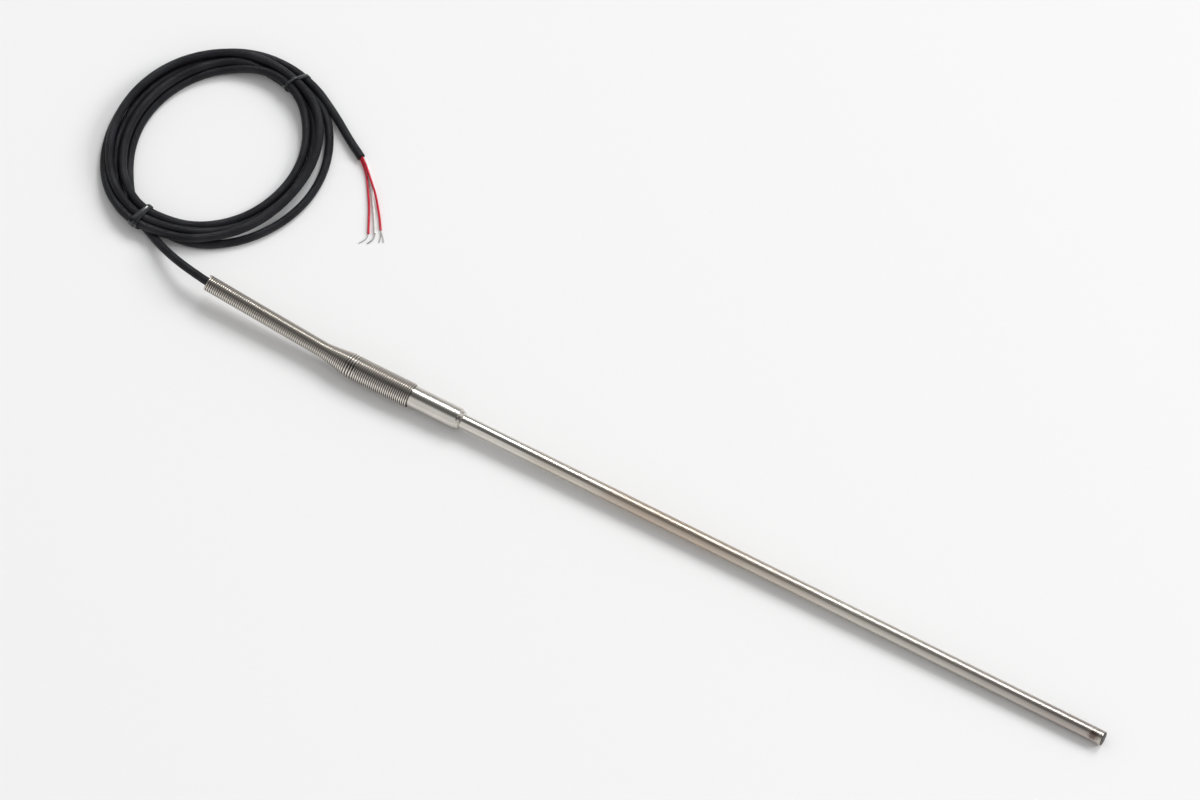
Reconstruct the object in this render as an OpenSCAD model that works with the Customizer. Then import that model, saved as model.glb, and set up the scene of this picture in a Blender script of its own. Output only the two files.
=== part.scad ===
// Tube-type RTD probe: a closed steel sheath with the sensing element in its tip,
// a transition sleeve, a stepped close-wound strain-relief spring and a cable that
// is wound in a tied coil and ends in three stripped leads.
//
// Millimetres, +Z up. The origin is on the probe's axis at the nose of the
// transition sleeve, where the insertion length starts, and +X runs to the tip.
// The probe lies as it rests, on its tip and on the thick end of the spring.

/* [Sheath] */
// Outside diameter of the sheath tube
sheath_d = 6.35; // [5.8:0.05:7]
// Insertion length, from the sleeve's nose to the tip
insertion_l = 304.8; // [150:0.1:460]
// Wall of the sheath tube
sheath_wall = 0.5; // [0.35:0.05:0.7]
// Length of the sheath that sits in the sleeve
socket_l = 9; // [6:0.5:11]
// How much the sheath's wall is sized down where it sits in the sleeve
socket_step = 0.2; // [0.16:0.01:0.25]

/* [Tip] */
// Thickness of the end plug's face
plug_face_t = 1.5; // [1:0.1:3]
// Length of the end plug's spigot inside the tube
plug_spigot_l = 3; // [2:0.5:6]
// Bevel round the tip
tip_bevel = 0.35; // [0.1:0.05:0.6]

/* [Sensing element] */
// Diameter of the ceramic element
element_d = 3; // [2.6:0.1:3.4]
// Length of the ceramic element
element_l = 15; // [8:1:30]
// Packed magnesia between the plug and the element
element_setback = 1.2; // [0.6:0.1:4]
// Space behind the element for its welds
weld_space = 6; // [5:0.5:12]
// Diameter of the element's own leads
element_lead_d = 0.35; // [0.2:0.05:0.45]
// Length of the element's own leads, up to the welds
element_lead_l = 2.5; // [1.5:0.5:4]

/* [Inner leads] */
// Diameter of the three bare wires in the sheath
inner_wire_d = 0.5; // [0.4:0.05:0.6]
// Bore of the insulator beads for one wire
bead_bore_d = 0.9; // [0.75:0.05:1]
// Gap round the insulator beads in the tube
bead_play = 0.25; // [0.1:0.05:0.4]
// Gap between two insulator beads
bead_gap = 0.4; // [0.2:0.1:0.8]
// Diameter of a crimp barrel
splice_d = 1.6; // [1.4:0.1:1.8]
// Length of a crimp barrel
splice_l = 6; // [4:0.5:7]
// Diameter of the shrink cover over a crimp
splice_cover_d = 2.2; // [2:0.05:2.4]
// Length of the shrink cover over a crimp
splice_cover_l = 10; // [8:0.5:12]

/* [Transition sleeve] */
// Outside diameter of the sleeve
sleeve_d = 9.525; // [9.3:0.025:10.5]
// Length of the sleeve from its nose to the spring
sleeve_l = 24.5; // [20:0.5:36]
// Length of the turned-down tail that carries the spring
tail_l = 14; // [10:0.5:20]
// Wall of the tail
tail_wall = 0.7; // [0.4:0.05:1]
// Diameter of the rolled ring at the nose
nose_ring_d = 8.2; // [7.6:0.1:9]
// Length of the rolled ring at the nose
nose_ring_l = 1.2; // [0.6:0.1:2]
// Radius of the fillet from the ring to the sheath
nose_fillet = 0.7; // [0.3:0.1:1.2]
// Chamfer from the sleeve's body to the ring
nose_chamfer = 0.3; // [0.1:0.05:0.6]
// How far the potting stays back from the sleeve's mouth
potting_recess = 1.5; // [0.5:0.5:4]

/* [Relief spring] */
// Wire diameter of the spring
spring_wire_d = 0.93; // [0.8:0.01:1.1]
// Gap between two turns of the close winding
spring_turn_gap = 0.03; // [0.02:0.01:0.08]
// Outside diameter over the sleeve
spring_wide_d = 10.95; // [10.5:0.05:11.5]
// Outside diameter round the cable
spring_narrow_d = 7.2; // [6.9:0.05:8.5]
// Length of the wide part
spring_wide_l = 30; // [28:0.5:45]
// Length of the taper
spring_taper_l = 12.5; // [6:0.5:20]
// Length of the narrow part
spring_narrow_l = 59.5; // [30:0.5:70]
// Angle by which the cable bends the narrow part
relief_bend = 3.8; // [0.5:0.1:6]
// Direction of that bend, 0 sideways and 90 up
relief_bend_dir = 38; // [0:1:90]
// Length of the bent stretch
relief_bend_l = 22; // [18:1:26]
// How far the bend springs open each of the last wide turns
relief_opening = 0.3; // [0:0.05:0.6]
// Number of turns that it springs open
relief_open_turns = 4; // [2:1:6]

/* [Cable] */
// Outside diameter of the cable
cable_d = 3.6; // [3:0.1:3.8]
// Outside diameter of a lead
lead_d = 1.1; // [0.8:0.05:1.15]
// Diameter of a stripped conductor
conductor_d = 0.5; // [0.3:0.05:0.6]
// Radius of the coil's centre line round its two tight ends
coil_end_r = 36; // [34:0.5:37]
// Radius of the coil's centre line along its two wide sides
coil_side_r = 50; // [48:0.5:52]
// Width of the coil's bundle
coil_w = 13; // [11:0.5:14]
// Height of the coil
coil_h = 6.8; // [5:0.1:9]
// Thickness of the ties
tie_t = 0.6; // [0.4:0.1:1]
// Width of the tie near the probe, which goes round twice
tie_1_w = 3.6; // [2:0.1:6]
// Width of the tie near the cable's end
tie_2_w = 2.2; // [1.5:0.1:4]

/* [Fits] */
// Gap round pieces that slide or press into each other
fit_gap = 0.025; // [0.01:0.005:0.05]
// Gap between the potting and what it holds
potting_gap = 0.03; // [0.02:0.01:0.06]
// Gap between a tie and the coil
tie_gap = 0.1; // [0.05:0.05:0.3]

/* [Hidden] */
$fn = 48;

// How the probe lies: the wide spring's first turn and the tip touch the floor.
rest_tilt = atan((spring_wide_d - sheath_d) / 2 / (sleeve_l + insertion_l));
floor_z = sleeve_l * sin(rest_tilt) - spring_wide_d / 2 * cos(rest_tilt);

// Inside of the sheath, from the tip backwards.
sheath_bore_d = sheath_d - 2 * sheath_wall;
socket_d = sheath_d - 2 * socket_step;
plug_x = insertion_l - plug_face_t;
filler_x = plug_x - plug_spigot_l;
element_x = filler_x - element_setback;
weld_x = element_x - element_l - element_lead_l;
filler_l = element_setback + element_l + weld_space;
bead_count = 5;
bead_start_x = filler_x - filler_l;
bead_l = (bead_start_x + socket_l - (bead_count - 1) * bead_gap) / bead_count;
bead_d = sheath_bore_d - 2 * bead_play;
wire_circle_r = (splice_cover_d + 5 * potting_gap) / sqrt(3);
wire_angles = [90, 210, 330];

// The sleeve's chamber and what is spliced in it.
spring_id = spring_wide_d - 2 * spring_wire_d;
tail_d = spring_id - 2 * fit_gap;
chamber_d = tail_d - 2 * tail_wall;
chamber_end_x = -sleeve_l - tail_l;

// The spring's centre line and its half turns.
spring_l = spring_wide_l + spring_taper_l + spring_narrow_l;
spring_half_pitch = (spring_wire_d + spring_turn_gap) / 2;
open_from = floor(spring_wide_l / spring_half_pitch) - 2 * relief_open_turns;
open_l = relief_opening * relief_open_turns;
spring_half_turns = 2 * floor((spring_l - spring_wire_d - open_l) / spring_half_pitch / 2);
bend_from = max(tail_l + 2, spring_wide_l - relief_bend_l / 2);
bend_r = relief_bend_l / (relief_bend * PI / 180);

// The cable's route out of the sleeve, through the spring and down to the coil.
cable_route = [[-26.5, 0, 0.2], [-36, 0, 0.3], [-46, 0, 0.4], [-56, 0.1, 0.5],
               [-66, 0.6, 0.9], [-76, 1.2, 1.3], [-86, 1.7, 1.8], [-96, 2.2, 2.3],
               [-106, 2.8, 2.8], [-116, 3.4, 3.3], [-126, 4, 3.7], [-133.5, 5.2, 3.4],
               [-141.5, 7.2, 2.1], [-149.4, 10.1, 0], [-156.2, 13.2, -2], [-163, 16.5, -3]];
// The cable's route from the coil to the end of its jacket.
tail_route = [[-148, 112, -1.4], [-141, 112.2, -1.6], [-134, 110.6, -2], [-126, 107.2, -2.6],
              [-119, 102.9, -3], [-111, 97.9, -3.4], [-102, 91.9, -3.5]];
// Where the three leads lie, with their stripped ends.
lead_red_1_route = [[-102, 91.4, -4], [-99.3, 89.2, -4.4], [-96.6, 86.5, -4.7],
                    [-93.8, 82.8, -4.7], [-90.8, 78.4, -4.7], [-87.6, 73.4, -4.7],
                    [-84.5, 67.8, -4.7], [-81.2, 61.6, -4.7]];
lead_red_2_route = [[-101.6, 91.9, -2.9], [-98.9, 89.9, -3.2], [-95.9, 87.2, -3.5],
                    [-92.2, 83.6, -3.5], [-88, 79.4, -3.8], [-84.2, 74.9, -4.4],
                    [-80.7, 70.3, -4.7], [-77.5, 65.6, -4.7]];
lead_white_route = [[-101.3, 92.5, -4], [-98.5, 90.4, -4.5], [-95.6, 87.5, -4.7],
                    [-92.4, 83.2, -4.7], [-89, 78.6, -4.7], [-85.7, 73.8, -4.7],
                    [-82.2, 68.5, -4.7], [-78.8, 63, -4.7]];
conductor_red_1_route = [[-81.2, 61.6, -4.7], [-80.8, 59.6, -4.8], [-81.4, 57.5, -4.9], [-82.6, 55.8, -5]];
conductor_red_2_routes = [[[-77.5, 65.6, -4.7], [-76.4, 63.8, -4.8], [-75.7, 62, -4.9], [-75.2, 60.2, -5]],
                          [[-77.5, 65.6, -4.7], [-76.2, 64.2, -4.8], [-74.8, 62.8, -4.9], [-73.6, 61.2, -5]]];
conductor_white_route = [[-78.8, 63, -4.7], [-78.2, 61, -4.8], [-78.4, 59.2, -4.9], [-79.3, 57.4, -5]];

// The coil: its centre, the direction of its long axis, where the two ties hold it
// and how far its tight ends' centres lie from its own.
coil_centre = [-157, 65.4];
coil_axis = 80;
tie_angles = [-100, 71];
coil_bottom = floor_z + tie_t + tie_gap;
coil_step = coil_side_r - coil_end_r;
end_shift = coil_step / sqrt(2);

// ---- Shared shapes ----

// Lays the straight probe down on its tip and its spring.
module lying() {
    rotate([0, rest_tilt, 0]) children();
}

// Turns a profile of [radius, x] points about the probe's axis.
module turned(profile) {
    rotate([0, 90, 0]) rotate_extrude() polygon(profile);
}

// A round bar along the probe's axis, from x0 to x1.
module bar(x0, x1, d) {
    translate([x0, 0, 0]) rotate([0, 90, 0]) cylinder(h = x1 - x0, d = d);
}

// A round bar between two points.
module rod(p, q, d) {
    v = q - p;
    translate(p)
        rotate([0, acos(v[2] / norm(v)), atan2(v[1], v[0])])
            cylinder(h = norm(v), d = d);
}

// Moves a piece off the axis to the circle on which wire i lies.
module at_wire(i) {
    translate([0, wire_circle_r * cos(wire_angles[i]), wire_circle_r * sin(wire_angles[i])])
        children();
}

function unit(v) = v / norm(v);

// Direction of a route at its point i.
function heading(route, i) =
    unit(route[min(i + 1, len(route) - 1)] - route[max(i - 1, 0)]);

// The ring of a cord's skin at point i.
function skin_ring(route, i, d, sides) =
    let (t = heading(route, i), across = unit(cross([0, 0, 1], t)), over = cross(t, across))
    [for (k = [0 : sides - 1])
        route[i] + d / 2 * (cos(360 * k / sides) * across + sin(360 * k / sides) * over)];

// A cord along a route, swept with flat ends.
module cord_tube(route, d, sides = 8) {
    n = len(route);
    skin = [for (i = [0 : n - 1]) each skin_ring(route, i, d, sides)];
    polyhedron(
        points = skin,
        faces = concat(
            [[for (k = [0 : sides - 1]) k]],
            [for (i = [0 : n - 2], k = [0 : sides - 1])
                [i * sides + k, (i + 1) * sides + k,
                 (i + 1) * sides + (k + 1) % sides, i * sides + (k + 1) % sides]],
            [[for (k = [sides - 1 : -1 : 0]) (n - 1) * sides + k]]),
        convexity = 6);
}

// A rectangle with round corners, its centre at the origin.
module rounded_rect(w, h, r) {
    square([w - 2 * r, h], center = true);
    square([w, h - 2 * r], center = true);
    for (x = [-1, 1], y = [-1, 1])
        translate([x * (w / 2 - r), y * (h / 2 - r)]) circle(r = r);
}

// ---- Sheath and tip ----

module sheath_tube() {
    color("silver") lying() turned([
        [sheath_bore_d / 2, -socket_l], [socket_d / 2, -socket_l], [socket_d / 2, 0],
        [sheath_d / 2, 0], [sheath_d / 2, plug_x], [sheath_bore_d / 2, plug_x]]);
}

// Welded end plug: a bevelled face with a spigot that fits the tube.
module tip_plug() {
    color("silver") lying() turned([
        [0, filler_x], [sheath_bore_d / 2 - fit_gap, filler_x],
        [sheath_bore_d / 2 - fit_gap, plug_x], [sheath_d / 2, plug_x],
        [sheath_d / 2, insertion_l - tip_bevel],
        [sheath_d / 2 - tip_bevel, insertion_l], [0, insertion_l]]);
}

// Packed magnesia: a cup that holds the element and leaves room for its welds.
module tip_filler() {
    color("white") lying() difference() {
        bar(filler_x - filler_l, filler_x, sheath_bore_d - 2 * fit_gap);
        bar(filler_x - filler_l - 1, element_x, element_d + 2 * fit_gap);
        bar(filler_x - filler_l - 1, element_x - element_l + element_d / 10,
            2 * wire_circle_r + inner_wire_d + 2 * fit_gap);
    }
}

module sensing_element() {
    edge = element_d / 10;
    color("ivory") lying() turned([
        [0, element_x - element_l], [element_d / 2 - edge, element_x - element_l],
        [element_d / 2, element_x - element_l + edge], [element_d / 2, element_x - edge],
        [element_d / 2 - edge, element_x], [0, element_x]]);
}

// The element's leads, in line with the first two wires that they are welded to.
module element_lead(i) {
    color("gainsboro") lying() at_wire(i)
        bar(weld_x, element_x - element_l, element_lead_d);
}

// ---- Inner leads ----

// One ceramic bead with a bore for each wire.
module insulator(i) {
    x1 = bead_start_x - i * (bead_l + bead_gap);
    color("linen") lying() difference() {
        bar(x1 - bead_l, x1, bead_d);
        for (k = [0 : 2]) at_wire(k) bar(x1 - bead_l - 1, x1 + 1, bead_bore_d);
    }
}

// Middle of the crimps: halfway between the sheath's end and the cable's jacket.
splice_x = (cable_route[0][0] - socket_l) / 2;

module inner_wire(i) {
    color("silver") lying() at_wire(i) bar(splice_x + splice_l / 2, weld_x, inner_wire_d);
}

// The third wire's bent end reaches across to the second, which makes the
// three-wire circuit.
module inner_wire_3() {
    reach = 2 * wire_circle_r * cos(30) - inner_wire_d / 2 - fit_gap;
    color("silver") inner_wire(2);
    color("silver") lying() at_wire(2)
        translate([weld_x - inner_wire_d / 2, 0, 0]) rotate([90, 0, 0])
            translate([0, 0, -inner_wire_d / 2])
                cylinder(h = reach + inner_wire_d / 2, d = inner_wire_d);
}

// A crimp barrel with the waist that the tool presses into it.
module splice(i) {
    waist = splice_d / 2 - splice_d / 8;
    color("silver") lying() translate([splice_x, 0, 0]) at_wire(i) turned([
        [0, -splice_l / 2], [splice_d / 2, -splice_l / 2], [splice_d / 2, -splice_l / 5],
        [waist, -splice_l / 10], [waist, splice_l / 10],
        [splice_d / 2, splice_l / 5], [splice_d / 2, splice_l / 2], [0, splice_l / 2]]);
}

module splice_cover(i) {
    color("dimgray") lying() at_wire(i) difference() {
        bar(splice_x - splice_cover_l / 2, splice_x + splice_cover_l / 2, splice_cover_d);
        bar(splice_x - splice_cover_l, splice_x + splice_cover_l, splice_d + 2 * fit_gap);
    }
}

// A core slopes from the cable's jacket out to the back of its crimp.
core_circle_r = lead_d / sqrt(3) + fit_gap;
core_slope = wire_circle_r - core_circle_r;
core_x0 = cable_route[0][0] + fit_gap;
core_x1 = splice_x - splice_l / 2 - 2 * fit_gap - lead_d / 2 * core_slope / (splice_x - splice_l / 2 - core_x0);

function on_circle(x, r, i) = [x, r * cos(wire_angles[i]), r * sin(wire_angles[i])];

module core(i, d = lead_d) {
    color(i == 2 ? "white" : "crimson") lying()
        rod(on_circle(core_x0, core_circle_r, i), on_circle(core_x1, wire_circle_r, i), d);
}

// ---- Transition sleeve ----

// The nose rolls down to the sheath: chamfer, ring, then a hollow fillet.
module transition_sleeve() {
    ring_r = nose_ring_d / 2;
    body_r = sleeve_d / 2;
    sheath_r = sheath_d / 2;
    socket_r = socket_d / 2 + fit_gap;
    fillet = min(nose_fillet, ring_r - sheath_r);
    ring_x = -nose_fillet;
    chamfer_x = ring_x - nose_ring_l;
    color("gainsboro") lying() turned(concat(
        [[socket_r, -socket_l], [socket_r, 0], [sheath_r, 0]],
        [for (a = [75 : -15 : 0]) [sheath_r + fillet * (1 - sin(a)), ring_x + fillet * (1 - cos(a))]],
        [[ring_r, ring_x], [body_r - nose_chamfer, chamfer_x], [body_r, chamfer_x - nose_chamfer],
         [body_r, -sleeve_l], [tail_d / 2, -sleeve_l],
         [tail_d / 2, chamber_end_x], [chamber_d / 2, chamber_end_x],
         [chamber_d / 2, -socket_l]]));
}

// Potting round the crimps, the cores and the end of the jacket.
module potting() {
    grow = 2 * potting_gap;
    color("#3a2f28") lying() difference() {
        bar(chamber_end_x + potting_recess, -socket_l, chamber_d - grow);
        for (i = [0 : 2]) {
            at_wire(i) bar(splice_x, 0, inner_wire_d + grow);
            at_wire(i) bar(splice_x - splice_cover_l / 2, splice_x + splice_cover_l / 2, splice_cover_d + grow);
            rod(on_circle(core_x0, core_circle_r, i), on_circle(core_x1, wire_circle_r, i), lead_d + grow);
        }
        bar(chamber_end_x, cable_route[0][0], cable_d + 6 * grow);
    }
}

// ---- Relief spring ----

// Centre line at length s: [along, sideways, angle] in the plane of the bend.
function spring_line(s) =
    let (a = min(max(s - bend_from, 0), relief_bend_l) / bend_r * 180 / PI,
         straight = max(s - bend_from - relief_bend_l, 0))
    [min(s, bend_from) + bend_r * sin(a) + straight * cos(a),
     bend_r * (1 - cos(a)) + straight * sin(a), a];

// Radius of the wire's centre at length s: wide, taper, narrow.
function spring_r(s) =
    let (wide = (spring_wide_d - spring_wire_d) / 2, narrow = (spring_narrow_d - spring_wire_d) / 2,
         t = min(max((s - spring_wide_l) / spring_taper_l, 0), 1))
    wide + (narrow - wide) * t;

// How far along the spring its k-th crossing lies: close wound, apart from the turns
// before the taper that the bend springs open.
function crossing_s(k) =
    spring_wire_d / 2 + fit_gap + k * spring_half_pitch
    + relief_opening / 2 * min(max(k - open_from, 0), 2 * relief_open_turns);

// Where the wire crosses the plane of the bend for the k-th time.
function spring_crossing(k) =
    let (s = crossing_s(k), c = spring_line(s),
         r = spring_r(s) * (k % 2 == 0 ? 1 : -1))
    [c[0] - r * sin(c[2]), c[1] + r * cos(c[2])];

// The segment between two crossings: its length, rounded so that the joints stay
// exact, and its direction.
function crossing_gap(k) =
    round(norm(spring_crossing(k + 1) - spring_crossing(k)) * 10000) / 10000;
function crossing_angle(k) =
    let (v = spring_crossing(k + 1) - spring_crossing(k)) atan2(v[1], v[0]);

// Half a ring that stands on its segment, on alternate sides of the plane. It
// starts at the origin, and the segment runs along +X.
module half_turn(k) {
    translate([crossing_gap(k) / 2, 0, 0]) rotate([k % 2 == 0 ? 90 : -90, 0, 0])
        rotate_extrude(angle = 180, $fn = 24)
            translate([crossing_gap(k) / 2, 0]) circle(d = spring_wire_d, $fn = 16);
}

// Moves a piece along the wire, from the start of half turn a to that of b.
module along_wire(a, b) {
    if (a == b)
        children();
    else
        translate([crossing_gap(a), 0, 0])
            rotate([0, 0, crossing_angle(a + 1) - crossing_angle(a)])
                along_wire(a + 1, b) children();
}

// Half turns a to b, joined two by two, end face to end face.
module turns(a, b) {
    mid = floor((a + b) / 2);
    if (b - a == 1)
        half_turn(a);
    else
        union() {
            turns(a, mid);
            along_wire(a, mid) turns(mid, b);
        }
}

module relief_spring() {
    start = spring_crossing(0);
    color("silver") lying()
        translate([-sleeve_l, 0, 0]) rotate([relief_bend_dir, 0, 0]) mirror([1, 0, 0])
            translate([start[0], start[1], 0]) rotate([0, 0, crossing_angle(0)])
                turns(0, spring_half_turns);
}

// ---- Cable ----

module cable_lead_in() {
    color("#1c1c1e") cord_tube(cable_route, cable_d);
}

// Moves a piece to the coil's centre, with +X along its long axis.
module at_coil() {
    translate([coil_centre[0], coil_centre[1], coil_bottom + coil_h / 2])
        rotate([0, 0, coil_axis]) children();
}

// A quarter of the coil about the origin, then the next one, which carries on in line.
module coil_arc(k = 0) {
    tight = k % 2 == 0;
    rotate_extrude(angle = 90, $fn = 96)
        translate([tight ? coil_end_r : coil_side_r, 0]) rounded_rect(coil_w, coil_h, cable_d / 2);
    if (k < 3)
        rotate([0, 0, 90]) translate([tight ? -coil_step : coil_step, 0, 0]) coil_arc(k + 1);
}

// The outer shape of the wound cable: an oval of two tight and two wide arcs.
module cable_coil() {
    color("#1c1c1e") at_coil()
        rotate([0, 0, -45]) translate([coil_step / 2, coil_step / 2, 0]) coil_arc();
}

module cable_tail() {
    color("#1c1c1e") cord_tube(tail_route, cable_d);
}

// A flat tie round the coil, at its far end (1) or the one beside the probe (-1).
module tie(end, angle, width) {
    color("black") at_coil() translate([end * end_shift, 0, 0])
        rotate([0, 0, angle - coil_axis]) translate([coil_end_r, 0, 0]) rotate([90, 0, 0])
            linear_extrude(height = width, center = true) difference() {
                rounded_rect(coil_w + 2 * (tie_gap + tie_t), coil_h + 2 * (tie_gap + tie_t),
                             cable_d / 2 + tie_gap + tie_t);
                rounded_rect(coil_w + 2 * tie_gap, coil_h + 2 * tie_gap, cable_d / 2 + tie_gap);
            }
}

module lead(route, colour) {
    color(colour) cord_tube(route, lead_d);
}

module conductor(route, d = conductor_d) {
    color("gray") cord_tube(route, d);
}

module conductor_red_2() {
    for (route = conductor_red_2_routes) conductor(route, conductor_d * 0.7);
}

sheath_tube();
tip_plug();
tip_filler();
sensing_element();
element_lead(0);  // element_lead_1
element_lead(1);  // element_lead_2
insulator(0);  // insulator_1
insulator(1);  // insulator_2
insulator(2);  // insulator_3
insulator(3);  // insulator_4
insulator(4);  // insulator_5
inner_wire(0);  // inner_wire_1
inner_wire(1);  // inner_wire_2
inner_wire_3();
splice(0);  // splice_1
splice(1);  // splice_2
splice(2);  // splice_3
splice_cover(0);  // splice_cover_1
splice_cover(1);  // splice_cover_2
splice_cover(2);  // splice_cover_3
core(0);  // core_1
core(1);  // core_2
core(2);  // core_3
potting();
transition_sleeve();
relief_spring();
cable_lead_in();
cable_coil();
cable_tail();
tie(-1, tie_angles[0], tie_1_w);  // tie_1
tie(1, tie_angles[1], tie_2_w);  // tie_2
lead(lead_red_1_route, "crimson");  // lead_red_1
lead(lead_red_2_route, "crimson");  // lead_red_2
lead(lead_white_route, "whitesmoke");  // lead_white
conductor(conductor_red_1_route);  // conductor_red_1
conductor_red_2();
conductor(conductor_white_route);  // conductor_white
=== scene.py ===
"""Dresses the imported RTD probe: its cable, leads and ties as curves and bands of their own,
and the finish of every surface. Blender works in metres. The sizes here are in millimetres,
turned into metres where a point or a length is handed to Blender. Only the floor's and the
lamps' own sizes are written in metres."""
import math

import bpy
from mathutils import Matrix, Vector

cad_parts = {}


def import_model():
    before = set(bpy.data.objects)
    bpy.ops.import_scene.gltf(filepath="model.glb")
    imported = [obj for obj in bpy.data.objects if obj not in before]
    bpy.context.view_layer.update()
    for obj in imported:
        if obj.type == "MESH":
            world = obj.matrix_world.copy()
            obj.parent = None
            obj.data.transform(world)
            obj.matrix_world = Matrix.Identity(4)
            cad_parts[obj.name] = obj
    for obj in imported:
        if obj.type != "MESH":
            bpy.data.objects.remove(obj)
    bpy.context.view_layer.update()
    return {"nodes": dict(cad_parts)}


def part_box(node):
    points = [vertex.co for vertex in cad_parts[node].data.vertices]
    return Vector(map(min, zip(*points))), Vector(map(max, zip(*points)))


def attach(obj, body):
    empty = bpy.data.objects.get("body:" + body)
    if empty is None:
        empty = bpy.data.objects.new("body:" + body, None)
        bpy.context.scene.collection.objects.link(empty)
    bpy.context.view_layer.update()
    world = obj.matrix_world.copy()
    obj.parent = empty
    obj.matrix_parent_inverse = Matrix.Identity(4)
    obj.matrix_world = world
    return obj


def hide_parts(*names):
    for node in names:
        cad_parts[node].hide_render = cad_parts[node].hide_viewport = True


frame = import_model()

MM = 0.001
NODES = frame["nodes"]


def metres(point):
    """A point in millimetres as a vector in metres."""
    return Vector(point) * MM


# ---- Sizes ----

# The floor lies this far below the coil's solid, and the lowest turns rest on it.
FLOOR_DROP = 0.7
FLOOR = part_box("cable_coil")[0].z / MM - FLOOR_DROP

CABLE_D = 3.6
LEAD_D = 1
CONDUCTOR_D = 0.42
# How thick the strands of the red leads are beside the white lead's conductor.
RED_STRAND = 0.7

# A tie's band: how thick it is, its steps round the bundle, the corners of its section,
# and the least it stays clear of the cable and of the floor.
TIE_T = 0.45
WRAP_STEPS = 60
BAND_CORNERS = 12
CABLE_CLEAR = 0.05
FLOOR_CLEAR = 0.02
# The ties: (node, travel, wraps), and each wrap is (width, near, far, lift).
TIES = [("tie_1", 4.5, [(2.3, 0.9, -0.9, 0), (2.3, 0.4, 0.8, 0.35)]),
        ("tie_2", 187.5, [(1.7, -1.4, 1.2, 0)])]

# The cable's route out of the sleeve, through the spring and down to the coil.
CABLE_ROUTE = [(-26.5, 0, 0.2), (-36, 0, 0.3), (-46, 0, 0.4), (-56, 0.1, 0.5),
               (-66, 0.6, 0.9), (-76, 1.2, 1.3), (-86, 1.7, 1.8), (-96, 2.2, 2.3),
               (-106, 2.8, 2.8), (-116, 3.4, 3.3), (-126, 4, 3.7), (-133.5, 5.2, 3.4),
               (-141.5, 7.2, 2.1), (-149.4, 10.1, 0), (-156.2, 13.2, -2), (-163, 16.5, -3)]
# Its route from the second tie to the end of its jacket.
TAIL_ROUTE = [(-134, 110.6, -2.4), (-126.4, 106.8, -3), (-119, 102.4, -3.2),
              (-111, 97.2, -3.4), (-102, 91.9, -3.5)]
LEAD_ROUTES = {
    "lead_red_1": [(-102, 91.4, -4), (-99.3, 89.2, -4.4), (-96.6, 86.5, -4.7),
                   (-93.8, 82.8, -4.7), (-90.8, 78.4, -4.7), (-87.6, 73.4, -4.7),
                   (-84.5, 67.8, -4.7), (-81.2, 61.6, -4.7)],
    "lead_red_2": [(-101.6, 91.9, -2.9), (-98.9, 89.9, -3.2), (-95.9, 87.2, -3.5),
                   (-92.2, 83.6, -3.5), (-88, 79.4, -3.8), (-84.2, 74.9, -4.4),
                   (-80.7, 70.3, -4.7), (-77.5, 65.6, -4.7)],
    "lead_white": [(-101.3, 92.5, -4), (-98.5, 90.4, -4.5), (-95.6, 87.5, -4.7),
                   (-92.4, 83.2, -4.7), (-89, 78.6, -4.7), (-85.7, 73.8, -4.7),
                   (-82.2, 68.5, -4.7), (-78.8, 63, -4.7)]}
# The stripped end of each lead, in the order of the leads: one route for each strand.
CONDUCTOR_ROUTES = {
    "conductor_red_1": [[(-81.2, 61.6, -4.7), (-80.8, 59.6, -4.8), (-81.4, 57.5, -4.9),
                         (-82.6, 55.8, -5)]],
    "conductor_red_2": [[(-77.5, 65.6, -4.7), (-76.4, 63.8, -4.8), (-75.7, 62, -4.9),
                         (-75.2, 60.2, -5)],
                        [(-77.5, 65.6, -4.7), (-76.2, 64.2, -4.8), (-74.8, 62.8, -4.9),
                         (-73.6, 61.2, -5)]],
    "conductor_white": [[(-78.8, 63, -4.7), (-78.2, 61, -4.8), (-78.4, 59.2, -4.9),
                         (-79.3, 57.4, -5)]]}

# The coil is an oval of four arcs: two tight ones at its ends, two wide ones between.
COIL_CENTRE = (-156.7, 64.9)
COIL_AXIS = 80
END_R = 36
SIDE_R = 50
# Where the first tie is, the travel in degrees from there to the end of the winding and
# the step between two points of the cable.
TIE_1_AT = -100
LAST_TRAVEL = 186
COIL_TRAVEL = 4 * 360 + LAST_TRAVEL
POINT_STEP = 6
# How far to both sides the lanes are evened out, in degrees, and in how many steps.
EASE = 9
EASE_STEPS = 3

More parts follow.
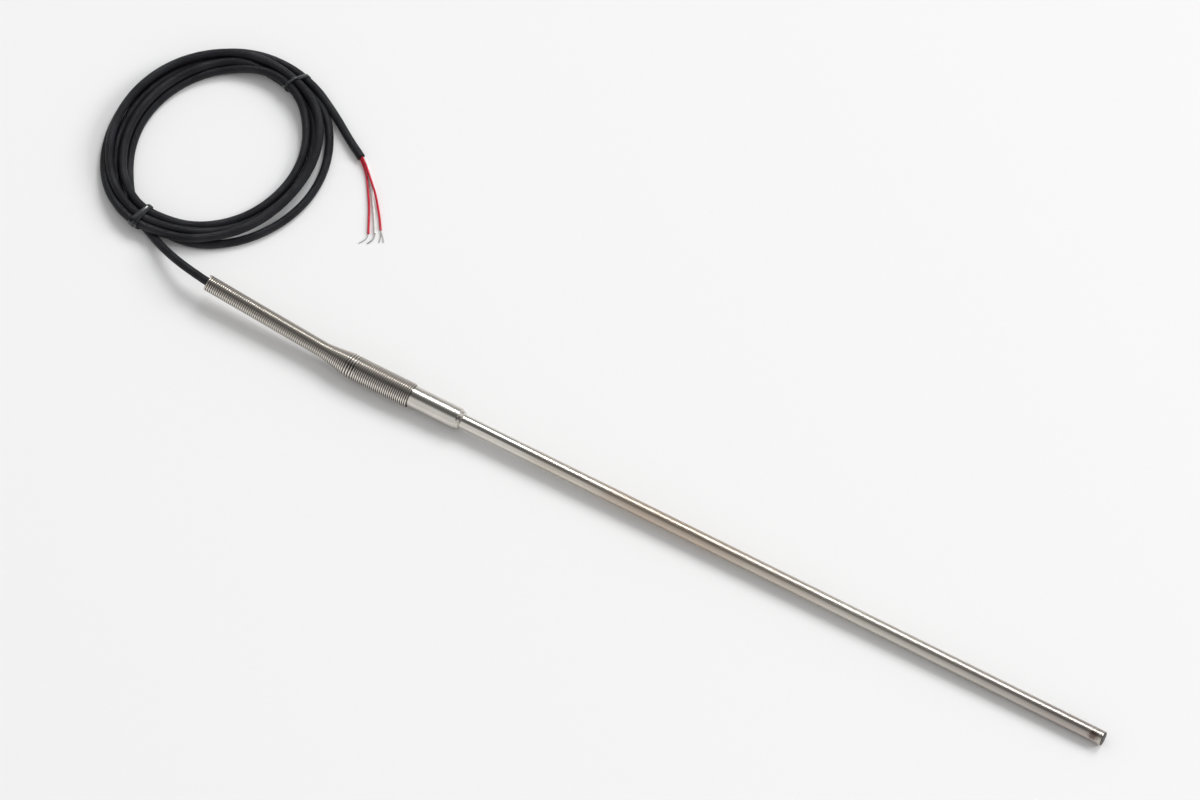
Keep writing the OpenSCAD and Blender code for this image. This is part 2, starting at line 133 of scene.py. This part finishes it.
# Where each turn lies in the bundle: (travel from the first tie, how far out from the
# coil's centre line, height of its centre over the floor).
TURNS = [
    [(0, 2.3, 2.4), (7, 2.8, 2.4), (20, 1.7, 2.0), (27, 1.1, 2.0), (40, 0.9, 2.0),
     (60, 1.1, 2.3), (90, 1.2, 2.3), (110, 1.4, 2.2), (130, 1.2, 2.0), (160, 0.9, 1.95),
     (174, 0.6, 2.4), (190, 0.9, 2.4), (203, 2.8, 2.0), (215, 4.5, 1.9), (237, 5.2, 1.9),
     (257, 5.2, 1.9), (270, 4.7, 1.9), (303, 3.2, 1.9), (320, 2.1, 1.9), (337, 1.0, 1.9),
     (350, -0.8, 2.0)],
    [(0, -1.6, 2.4), (7, -0.8, 2.4), (20, -2.0, 1.9), (30, -3.6, 1.9), (40, -4.8, 1.9),
     (60, -5.4, 1.9), (90, -5.2, 1.9), (110, -5.0, 2.2), (130, -4.4, 2.8), (145, -4.5, 3.5),
     (155, -4.1, 4.6), (165, -3.6, 5.1), (174, -3.2, 5.3), (190, -3.4, 5.3), (203, -3.7, 5.0),
     (220, -4.6, 3.6), (237, -5.0, 2.6), (257, -6.1, 1.9), (270, -6.8, 1.9), (303, -7.0, 1.9),
     (320, -6.7, 2.6), (337, -5.7, 3.8), (350, -4.8, 5.0)],
    [(0, -3.7, 5.4), (7, -2.8, 5.4), (20, -2.4, 5.3), (40, -2.2, 5.3), (60, -2.4, 5.2),
     (90, -2.6, 4.9), (110, -2.4, 4.9), (130, -1.4, 4.6), (145, -1.0, 4.2), (155, -1.4, 3.5),
     (165, -2.4, 2.6), (174, -2.9, 2.4), (190, -2.7, 2.4), (203, -1.7, 2.2), (220, -1.1, 2.4),
     (237, -1.4, 2.2), (257, -2.2, 1.9), (270, -3.0, 1.9), (303, -3.4, 2.2), (320, -3.2, 3.4),
     (337, -2.3, 4.8), (350, -1.3, 5.3)],
    [(0, 0.0, 5.5), (7, 1.1, 5.5), (20, 1.7, 5.4), (40, 2.7, 5.4), (60, 4.0, 5.5),
     (75, 4.3, 5.5), (90, 4.3, 5.5), (110, 4.0, 5.5), (130, 3.0, 5.5), (150, 1.8, 5.5),
     (174, 0.2, 5.6), (190, 0.1, 5.6), (203, 0.7, 5.4), (220, 1.0, 5.4), (237, 0.7, 5.3),
     (257, -0.6, 5.3), (270, -1.1, 5.3), (303, 0.2, 5.3), (320, 0.9, 5.3), (337, 1.8, 5.3),
     (350, 2.2, 5.4)],
    [(0, 3.7, 5.4), (7, 4.8, 5.2), (20, 5.1, 4.5), (30, 5.4, 3.6), (40, 5.6, 2.9),
     (57, 5.8, 2.0), (67, 5.4, 1.9), (90, 5.3, 1.9), (110, 5.2, 1.9), (130, 4.8, 1.9),
     (150, 4.6, 1.95), (174, 4.4, 2.4), (190, 5.0, 2.4), (203, 5.5, 2.1)],
]

# The spring, as the part's source lays it: where it starts along -X, its first turn, its
# pitch, the stretch that is sprung open and by how much, and its bend: where it begins,
# how long and how many degrees it is, and to which side it goes.
SPRING_START = 24.5
SPRING_FIRST = 0.475
SPRING_PITCH = 0.96
SPRING_OPEN_FROM = 26.4
SPRING_OPEN_TO = 31.44
SPRING_OPEN = 1.2
SPRING_BEND_FROM = 19
SPRING_BEND_LENGTH = 22
SPRING_BEND = 3.8
SPRING_BEND_R = SPRING_BEND_LENGTH / math.radians(SPRING_BEND)
SPRING_BEND_DIR = 38
# The painted shade in the groove between two turns sets in and is darkest this far from the top
# of a turn, in turns.
PAINTED_GROOVE_SHADE = (0.16, 0.36)

# The sheath's tone from its sleeve on: (from, to, the colour it has reached by then), and how
# far those stretches wander. The last, darker tone towards the tip is painted shade that stands
# for the darker reflection there.
POLISHED = (216, 212, 204)
SHEATH_TONES_AND_TIP_SHADE = [(25, 85, (196, 182, 167)), (110, 180, (204, 199, 190)),
                (200, 290, (180, 172, 166))]
SHEATH_WANDER = 70
# Where the sheath turns dull, where it clears again and how dull it stays at its tip.
DULL_IN = (22, 75)
DULL_OUT = (190, 300)
DULL_LEFT = 0.7
# Where heat has stained the sheath beside its tip, how far the stain's dark middle and its
# edge reach, and how ragged that edge is.
STAIN = (300.6, -1.96, 0.4)
STAIN_REACH = (1.2, 2.6)
STAIN_RAGGED = 3
# Where the tip's side goes over into its face.
TIP_FACE = (304.5, 304.68)
# How deep the fine lines along ground or drawn metal are.
LINE_DEPTH = 0.006

# ---- Materials ----


def srgb(red, green, blue):
    """A colour written as 0 to 255 values, as Blender's linear colour."""
    linear = [c / 255 / 12.92 if c / 255 <= 0.04045 else ((c / 255 + 0.055) / 1.055) ** 2.4
              for c in (red, green, blue)]
    return (*linear, 1)


class Nodes:
    """A short way to add and link the nodes of one tree."""

    def __init__(self, tree):
        self.tree = tree

    def feed(self, socket, value):
        """Gives a socket another node's output, or a number or a colour."""
        if isinstance(value, bpy.types.NodeSocket):
            self.tree.links.new(value, socket)
        else:
            socket.default_value = value

    def add(self, kind, inputs=None, **settings):
        """A node with its settings and its inputs: numbers, colours or other sockets."""
        node = self.tree.nodes.new(kind)
        for key, value in settings.items():
            setattr(node, key, value)
        for key, value in (inputs or {}).items():
            self.feed(node.inputs[key], value)
        return node

    def ramp(self, value, low, high, to_low, to_high):
        """value from low..high as to_low..to_high, held at the ends."""
        return self.add("ShaderNodeMapRange", {
            "Value": value, "From Min": low, "From Max": high,
            "To Min": to_low, "To Max": to_high}).outputs[0]

    def math(self, operation, first, second=0.0):
        return self.add("ShaderNodeMath", {0: first, 1: second}, operation=operation).outputs[0]

    def plus(self, first, second):
        return self.math("ADD", first, second)

    def minus(self, first, second):
        return self.math("SUBTRACT", first, second)

    def times(self, first, second):
        return self.math("MULTIPLY", first, second)


class Finish(Nodes):
    """The nodes of one material round its Principled shader."""

    def __init__(self, name):
        self.material = bpy.data.materials.new(name)
        self.material.use_nodes = True
        super().__init__(self.material.node_tree)
        self.shader = self.tree.nodes["Principled BSDF"]

    def place(self, scale=(1, 1, 1)):
        """The point in the row frame, in millimetres, stretched by scale."""
        where = self.add("ShaderNodeTexCoord").outputs["Object"]
        return self.add("ShaderNodeMapping", {
            0: where, "Scale": [s / MM for s in scale]}).outputs[0]

    def noise(self, scale, stretch=(1, 1, 1), rough=0.5):
        """A soft pattern of about scale spots to the millimetre."""
        return self.add("ShaderNodeTexNoise", {
            "Vector": self.place(stretch), "Scale": scale, "Detail": 4,
            "Roughness": rough}).outputs[0]

    def mix(self, factor, first, second):
        """A mix of two colours, through the sockets that a Mix node keeps for colours."""
        return self.add("ShaderNodeMix", {0: factor, 6: first, 7: second},
                        data_type="RGBA").outputs[2]

    def set(self, **values):
        """Sets shader inputs, written with _ for the blanks in their names."""
        for key, value in values.items():
            self.feed(self.shader.inputs[key.replace("_", " ")], value)

    def bump(self, height, distance, strength):
        """Bump of a height that reaches from 0 to 1 over distance in millimetres."""
        node = self.add("ShaderNodeBump", {"Height": height, "Distance": distance * MM,
                                           "Strength": strength})
        self.set(Normal=node.outputs[0])


def rubber():
    """Matte black cable jacket with a fine grain and faint lengths of rubbed shine."""
    m = Finish("black_jacket")
    wear = m.ramp(m.noise(0.09), 0.4, 0.65, 0.0, 1.0)
    m.set(Base_Color=m.mix(wear, srgb(23, 23, 27), srgb(34, 34, 39)),
          Roughness=m.ramp(wear, 0, 1, 0.62, 0.5), Specular_IOR_Level=0.32)
    m.bump(m.noise(2.2, rough=0.7), 0.07, 0.8)
    return m.material


def nylon():
    """Glossy, slightly uneven black band of a tie."""
    m = Finish("black_tie")
    m.set(Base_Color=srgb(18, 23, 24), Roughness=0.14, Specular_IOR_Level=0.8)
    m.bump(m.noise(1.1), 0.05, 0.6)
    return m.material


def insulation(name, colour, shade):
    """Smooth plastic of a lead, a little uneven in colour."""
    m = Finish(name)
    m.set(Base_Color=m.mix(m.ramp(m.noise(0.5), 0.35, 0.65, 0, 1), colour, shade),
          Roughness=0.32, Coat_Weight=0.25, Coat_Roughness=0.15)
    m.bump(m.noise(6), 0.01, 0.4)
    return m.material


def drawn_metal(name, tone, rough, lines=(0.05, 6, 6)):
    """Plain ground or drawn metal: its tone varies a little and fine lines run along."""
    m = Finish(name)
    patch = m.ramp(m.noise(0.06), 0.35, 0.65, 0, 1)
    streak = m.noise(1.0, stretch=lines)
    m.set(Base_Color=m.mix(patch, srgb(*tone), srgb(*(c * 0.93 for c in tone))), Metallic=1.0,
          Roughness=m.ramp(streak, 0.3, 0.7, rough * 0.8, rough * 1.25))
    m.bump(streak, LINE_DEPTH, 0.5)
    return m.material


def spring_wire():
    """Bright drawn wire with painted shade that darkens the grooves between the turns. The
    grooves are found from the length along the spring's bent centre line and the angle round
    it."""
    m = Finish("spring_wire")
    x, y, z = m.add("ShaderNodeSeparateXYZ", {0: m.place()}).outputs
    aim = math.radians(SPRING_BEND_DIR)
    # How far on from where the bend begins, how far from its axis and how far to the side.
    beyond = m.minus(-SPRING_START - SPRING_BEND_FROM, x)
    inward = m.minus(SPRING_BEND_R,
                     m.plus(m.times(y, math.cos(aim)), m.times(z, math.sin(aim))))
    side = m.minus(m.times(z, math.cos(aim)), m.times(y, math.sin(aim)))
    # The bend gone through so far, none before it and all of it beyond.
    bend = m.math("MAXIMUM", m.math("MINIMUM", m.math("ARCTAN2", beyond, inward),
                                    math.radians(SPRING_BEND)), 0.0)
    sine, cosine = m.math("SINE", bend), m.math("COSINE", bend)
    # The length along the centre line and, in the bend's plane, the distance from it.
    length = m.plus(m.times(bend, SPRING_BEND_R),
                    m.minus(m.times(beyond, cosine), m.times(inward, sine)))
    across = m.minus(SPRING_BEND_R, m.plus(m.times(beyond, sine), m.times(inward, cosine)))
    opened = m.ramp(length, SPRING_OPEN_FROM - SPRING_BEND_FROM,
                    SPRING_OPEN_TO - SPRING_BEND_FROM, 0, SPRING_OPEN)
    radius = m.math("SQRT", m.plus(m.times(across, across), m.times(side, side)))
    # The angle round the centre line, as near as a share of a turn needs.
    lead = m.times(m.math("SIGN", side),
                   m.minus(0.25, m.times(m.math("DIVIDE", across, radius), 0.25)))
    closed = m.plus(m.minus(length, opened), SPRING_BEND_FROM - SPRING_FIRST)
    turns = m.minus(m.math("DIVIDE", closed, SPRING_PITCH), lead)
    off = m.math("ABSOLUTE", m.minus(m.math("FRACT", m.plus(turns, 0.5)), 0.5))
    unshaded_crest = m.ramp(off, *PAINTED_GROOVE_SHADE, 1, 0)
    # The grooves' dark colour is painted shade; the tops of the turns keep the wire's own
    # bright colour.
    m.set(Base_Color=m.mix(unshaded_crest, srgb(96, 88, 80), srgb(238, 231, 221)), Metallic=1.0,
          Roughness=m.ramp(unshaded_crest, 0, 1, 0.4, 0.14))
    m.bump(m.noise(1.2), 0.01, 0.3)
    return m.material


def end_weld():
    """The end plug: sheath steel on its side and a dark, heat-stained face."""
    m = Finish("end_weld")
    along = m.add("ShaderNodeSeparateXYZ", {0: m.place()}).outputs[0]
    face = m.ramp(along, *TIP_FACE, 0, 1)
    m.set(Base_Color=m.mix(face, srgb(190, 183, 176), srgb(66, 61, 57)), Metallic=1.0,
          Roughness=m.ramp(face, 0, 1, 0.3, 0.45))
    m.bump(m.noise(2.5), 0.03, 0.5)
    return m.material


def plain(name, colour, rough, metallic=0.0):
    """An even surface with a faint grain, for the pieces inside."""
    m = Finish(name)
    m.set(Base_Color=m.mix(m.noise(0.8), srgb(*colour), srgb(*(c * 0.9 for c in colour))),
          Roughness=rough, Metallic=metallic)
    m.bump(m.noise(4), 0.01, 0.4)
    return m.material


def sheath_steel():
    """Polished beside the sleeve, dull and brownish after that and clearer at the tip, where
    painted shade darkens its colour for the darker reflection there.
    """
    m = Finish("sheath_steel")
    along = m.add("ShaderNodeSeparateXYZ", {0: m.place()}).outputs[0]
    along = m.plus(along, m.times(m.minus(m.noise(0.04), 0.5), SHEATH_WANDER))
    streak = m.noise(1.0, stretch=(0.03, 5, 5))
    dull = m.times(m.ramp(along, *DULL_IN, 0, 1), m.ramp(along, *DULL_OUT, 1, DULL_LEFT))
    tone = srgb(*POLISHED)
    # The last tone darkens the colour towards the tip: painted shade for a darker reflection.
    for start, end, reached in SHEATH_TONES_AND_TIP_SHADE:
        tone = m.mix(m.ramp(along, start, end, 0, 1), tone, srgb(*reached))
    away = m.add("ShaderNodeVectorMath", {0: m.place(), 1: STAIN},
                 operation="DISTANCE").outputs["Value"]
    ragged = m.plus(away, m.times(m.minus(m.noise(1.6), 0.5), STAIN_RAGGED))
    tone = m.mix(m.ramp(ragged, *STAIN_REACH, 0.75, 0), tone, srgb(92, 66, 58))
    m.set(Base_Color=tone, Metallic=1.0,
          Roughness=m.plus(m.ramp(dull, 0, 1, 0.12, 0.36),
                           m.ramp(streak, 0.3, 0.7, -0.03, 0.05)))
    m.bump(streak, LINE_DEPTH, 0.5)
    return m.material


FINISHES = {
    "rubber": rubber(),
    "nylon": nylon(),
    "red": insulation("red_insulation", srgb(206, 16, 52), srgb(184, 10, 42)),
    "white": insulation("white_insulation", srgb(232, 230, 226), srgb(214, 212, 208)),
    "tinned": drawn_metal("tinned_copper", (176, 176, 174), 0.3),
    "sheath": sheath_steel(),
    "sleeve": drawn_metal("sleeve_steel", POLISHED, 0.15, lines=(6, 0.3, 0.3)),
    "spring": spring_wire(),
    "tip": end_weld(),
    "magnesia": plain("magnesia", (226, 222, 212), 0.9),
    "element": plain("element_ceramic", (236, 232, 220), 0.45),
    "bead": plain("bead_ceramic", (228, 220, 200), 0.6),
    "nickel": plain("nickel_wire", (188, 182, 172), 0.28, 1.0),
    "crimp": plain("crimp", (206, 206, 204), 0.25, 1.0),
    "shrink": plain("shrink_cover", (30, 30, 33), 0.5),
    "resin": plain("potting_resin", (44, 38, 34), 0.35),
}

# The finish of each CAD node that stays as it is: the four outer ones, then those inside.
FINISH_OF = {
    "sheath_tube": "sheath", "tip_plug": "tip", "transition_sleeve": "sleeve",
    "relief_spring": "spring",
    "tip_filler": "magnesia", "sensing_element": "element", "element_lead_1": "nickel",
    "element_lead_2": "nickel", "potting": "resin",
    "core_1": "red", "core_2": "red", "core_3": "white",
    **{f"insulator_{i}": "bead" for i in range(1, 6)},
    **{f"inner_wire_{i}": "nickel" for i in range(1, 4)},
    **{f"splice_{i}": "crimp" for i in range(1, 4)},
    **{f"splice_cover_{i}": "shrink" for i in range(1, 4)},
}


def dress(node, finish):
    """Gives a CAD node its finish."""
    slots = NODES[node].data.materials
    for index in range(len(slots)):
        slots[index] = FINISHES[finish]


# ---- Cable, leads and conductors ----


def place_in_scene(name, data):
    """A new object of some data, linked to the scene."""
    piece = bpy.data.objects.new(name, data)
    bpy.context.scene.collection.objects.link(piece)
    return piece


def cord_curve(name, routes, diameter, finish):
    """A round cord through each route's points, in millimetres."""
    curve = bpy.data.curves.new(name, "CURVE")
    curve.dimensions = "3D"
    curve.bevel_depth = diameter / 2 * MM
    curve.bevel_resolution = 6
    curve.resolution_u = 8
    curve.use_fill_caps = True
    for route in routes:
        spline = curve.splines.new("BEZIER")
        spline.bezier_points.add(len(route) - 1)
        for knot, point in zip(spline.bezier_points, route):
            knot.co = metres(point)
            knot.handle_left_type = knot.handle_right_type = "AUTO"
    curve.materials.append(FINISHES[finish])
    return place_in_scene(name, curve)


def coil_point(angle, out, height):
    """A point of the coil at an angle of its oval, out from its centre line."""
    quarter = int((angle - COIL_AXIS + 45) % 360 // 90)
    towards = math.radians(COIL_AXIS + 90 * quarter)
    at_end = quarter % 2 == 0
    shift = (SIDE_R - END_R) / math.sqrt(2) * (1 if at_end else -1)
    radius = (END_R if at_end else SIDE_R) + out
    a = math.radians(angle)
    return (COIL_CENTRE[0] + shift * math.cos(towards) + radius * math.cos(a),
            COIL_CENTRE[1] + shift * math.sin(towards) + radius * math.sin(a),
            FLOOR + height)


def winding():
    """The lanes of all turns as one list of (travel, out, height)."""
    return [(travel + 360 * turn, out, height)
            for turn, lanes in enumerate(TURNS) for travel, out, height in lanes]


def lane_at(keys, travel):
    """Where the cable lies in the bundle at a travel, straight between its keys."""
    travel = min(max(travel, keys[0][0]), keys[-1][0])
    after = max(1, next(i for i, key in enumerate(keys) if key[0] >= travel))
    start, end = keys[after - 1], keys[after]
    t = (travel - start[0]) / (end[0] - start[0])
    return [start[i] + (end[i] - start[i]) * t for i in (1, 2)]


def eased_lane(keys, travel):
    """The lane at a travel, evened out over a stretch to both sides."""
    near = [lane_at(keys, travel + EASE * step / EASE_STEPS)
            for step in range(-EASE_STEPS, EASE_STEPS + 1)]
    return [sum(lane[i] for lane in near) / len(near) for i in (0, 1)]


def coil_points():
    """The cable's points round the coil, clockwise from the first tie."""
    keys = winding()
    count = int(COIL_TRAVEL / POINT_STEP)
    travels = [COIL_TRAVEL * i / count for i in range(count + 1)]
    return [coil_point(TIE_1_AT - travel, *eased_lane(keys, travel)) for travel in travels]


def cable():
    """The cable as one cord: out of the sleeve, round the coil and to its jacket's end."""
    points = CABLE_ROUTE + coil_points() + TAIL_ROUTE
    piece = cord_curve("cable", [points], CABLE_D, "rubber")
    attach(piece, "root")
    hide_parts("cable_lead_in", "cable_coil", "cable_tail")


def leads():
    """The three leads out of the jacket's end, each with its stripped conductor."""
    for name, conductor in zip(LEAD_ROUTES, CONDUCTOR_ROUTES):
        route = LEAD_ROUTES[name]
        colour = "white" if "white" in name else "red"
        lead = cord_curve(name + "_insulation", [route], LEAD_D, colour)
        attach(lead, "root")
        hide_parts(name)
        thickness = CONDUCTOR_D * (RED_STRAND if colour == "red" else 1)
        wire = cord_curve(conductor + "_strands", CONDUCTOR_ROUTES[conductor], thickness,
                          "tinned")
        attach(wire, "root")
        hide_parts(conductor)


# ---- Ties ----


def wrap(vertices, faces, travel, width, near, far, lift):
    """One wrap of a tie round the five turns at a travel: a band that leans from near
    (at the coil's inside) to far (outside) along the cable, over anything lift thick."""
    keys = winding()
    lanes = [eased_lane(keys, travel + 360 * turn) for turn in range(len(TURNS))]
    start = len(vertices)
    for step in range(WRAP_STEPS):
        a = 2 * math.pi * step / WRAP_STEPS
        u = (math.cos(a), math.sin(a))
        out, height = max(lanes, key=lambda lane: lane[0] * u[0] + lane[1] * u[1])
        lean = near + (far - near) * (1 + u[0]) / 2
        for corner in range(BAND_CORNERS):
            b = 2 * math.pi * corner / BAND_CORNERS
            along = width / 2 * math.copysign(abs(math.cos(b)) ** 0.5, math.cos(b)) + lean
            reach = CABLE_D / 2 + CABLE_CLEAR + lift + TIE_T / 2 * (1 + math.sin(b))
            place = (out + reach * u[0], max(FLOOR_CLEAR, height + reach * u[1]))
            degrees = TIE_1_AT - travel - math.degrees(along / END_R)
            vertices.append(metres(coil_point(degrees, *place)))
    for step in range(WRAP_STEPS):
        ring = start + BAND_CORNERS * step
        following = start + BAND_CORNERS * ((step + 1) % WRAP_STEPS)
        for corner in range(BAND_CORNERS):
            beside = (corner + 1) % BAND_CORNERS
            faces.append((ring + corner, ring + beside, following + beside, following + corner))


def tie(node, travel, wraps):
    """A tie of one or two wraps; each wrap is (width, near, far, lift)."""
    vertices, faces = [], []
    for each in wraps:
        wrap(vertices, faces, travel, *each)
    mesh = bpy.data.meshes.new(node + "_band")
    mesh.from_pydata(vertices, [], faces)
    mesh.shade_smooth()
    mesh.materials.append(FINISHES["nylon"])
    piece = place_in_scene(node + "_band", mesh)
    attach(piece, "root")
    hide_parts(node)


# ---- Stage ----

CAMERA_ELEVATION = 60.86
CAMERA_AZIMUTH = 29.3
CAMERA_DISTANCE = 5650
LENS = 404.3
# What the middle of the picture looks at, right of and above the part's origin.
AIM_RIGHT = 57.3
AIM_UP = 9

# Half the floor's edge, in metres, and its grey.
FLOOR_HALF = 6
FLOOR_GREY = 242

# The soft square lamps: (name, azimuth, elevation, distance and edge in metres, watts).
LAMPS = [("key", 172, 48, 8, 3.4, 262), ("side", 122, 32, 8, 3.4, 267)]

# The even light from all round: its grey and its strength.
EVEN_GREY = 0.8
EVEN_STRENGTH = 0.66
# What metal mirrors, by the angle round the part's long axis from the horizon behind it
# over the top to the horizon in front: (angle, brightness). A curve node holds no value
# over 1, so it holds the brightness as a share of the highest it may have.
ROOM = [(0, 0.42), (16, 0.48), (32, 0.6), (41, 0.95), (64, 1.0), (76, 0.48), (84, 0.16),
        (112, 0.13), (122, 0.3), (136, 0.78), (180, 0.8)]
ROOM_MOST = 2
# How bright the room's two end walls are: from the share 0.34 of a half turn over the part
# to 0.6 they fall from 0.55 to 0.03. They take over where a direction points this much
# along the part.
END_WALL = (0.34, 0.6, 0.55, 0.03)
END_WALL_FROM = (0.25, 0.65)
# The direction of the small bright lamp that gives glossy plastic its glints, the angles
# from its middle where it begins and is full, and its brightness.
SPOT = (-0.238, 0.584, 0.776)
SPOT_EDGE = (6, 4)
SPOT_GLARE = 22


def camera():
    """The camera at the photo's angle, far off with a long lens."""
    e, a = math.radians(CAMERA_ELEVATION), math.radians(CAMERA_AZIMUTH)
    right = Vector((math.cos(a), math.sin(a), 0))
    towards = Vector((-math.sin(a) * math.cos(e), math.cos(a) * math.cos(e), -math.sin(e)))
    up = right.cross(towards)
    data = bpy.data.cameras.new("camera")
    data.lens = LENS
    data.sensor_width = 36
    data.clip_end = 50
    eye = place_in_scene("camera", data)
    eye.location = (right * AIM_RIGHT + up * AIM_UP - towards * CAMERA_DISTANCE) * MM
    eye.rotation_euler = towards.to_track_quat("-Z", "Y").to_euler()
    bpy.context.scene.camera = eye


def floor():
    """The plain pale floor under the coil."""
    mesh = bpy.data.meshes.new("floor")
    half, z = FLOOR_HALF, FLOOR * MM
    mesh.from_pydata([(-half, -half, z), (half, -half, z), (half, half, z), (-half, half, z)],
                     [], [(0, 1, 2, 3)])
    m = Finish("floor")
    m.set(Base_Color=srgb(FLOOR_GREY, FLOOR_GREY, FLOOR_GREY), Roughness=0.9,
          Specular_IOR_Level=0.1)
    mesh.materials.append(m.material)
    place_in_scene("floor", mesh)


def lamp(name, azimuth, elevation, distance, edge, power):
    """A square soft light that shines at the origin from an azimuth, 0 along -Y. Metal
    mirrors the room's own long lamp instead of it."""
    data = bpy.data.lights.new(name, "AREA")
    data.size = edge
    data.energy = power
    light = place_in_scene(name, data)
    light.visible_glossy = False
    e, a = math.radians(elevation), math.radians(azimuth)
    away = Vector((math.sin(a) * math.cos(e), -math.cos(a) * math.cos(e), math.sin(e)))
    light.location = away * distance
    light.rotation_euler = (-away).to_track_quat("-Z", "Y").to_euler()


def world():
    """Even pale light, and for reflections a studio with a long lamp behind the part, two
    end walls and a small bright lamp."""
    scene_world = bpy.data.worlds.new("world")
    bpy.context.scene.world = scene_world
    scene_world.use_nodes = True
    w = Nodes(scene_world.node_tree)
    even = w.tree.nodes["Background"]
    w.feed(even.inputs["Color"], (EVEN_GREY, EVEN_GREY, EVEN_GREY, 1))
    w.feed(even.inputs["Strength"], EVEN_STRENGTH)

    towards = w.add("ShaderNodeTexCoord").outputs["Generated"]
    x, y, z = w.add("ShaderNodeSeparateXYZ", {0: towards}).outputs
    share = w.math("DIVIDE", w.math("ARCTAN2", z, y), math.pi)
    bands = w.add("ShaderNodeFloatCurve", {"Value": share})
    curve = bands.mapping.curves[0]
    for _ in ROOM[2:]:
        curve.points.new(0.5, 0.5)
    for point, (at, brightness) in zip(curve.points, ROOM):
        point.location = (at / 180, brightness / ROOM_MOST)
        point.handle_type = "VECTOR"
    bands.mapping.update()

    near_spot = w.add("ShaderNodeVectorMath", {0: towards, 1: SPOT},
                      operation="DOT_PRODUCT").outputs["Value"]
    glare = w.ramp(near_spot, *(math.cos(math.radians(edge)) for edge in SPOT_EDGE),
                   0, SPOT_GLARE)
    middle = w.add("ShaderNodeMath", {0: bands.outputs[0], 1: ROOM_MOST, 2: glare},
                   operation="MULTIPLY_ADD").outputs[0]
    aside = w.ramp(w.math("ABSOLUTE", x), *END_WALL_FROM, 0, 1)
    walls = w.ramp(share, *END_WALL)
    lit = w.add("ShaderNodeMix", {0: aside, 2: middle, 3: walls}).outputs[0]
    room = w.add("ShaderNodeBackground", {"Color": (1, 1, 1, 1), "Strength": lit})

    is_glossy = w.add("ShaderNodeLightPath").outputs["Is Glossy Ray"]
    choice = w.add("ShaderNodeMixShader",
                   {0: is_glossy, 1: even.outputs[0], 2: room.outputs[0]})
    w.feed(w.tree.nodes["World Output"].inputs[0], choice.outputs[0])


camera()
floor()
world()
for each in LAMPS:
    lamp(*each)
cable()
leads()
for node, finish in FINISH_OF.items():
    dress(node, finish)
for each in TIES:
    tie(*each)

bpy.context.scene.view_settings.view_transform = "Standard"
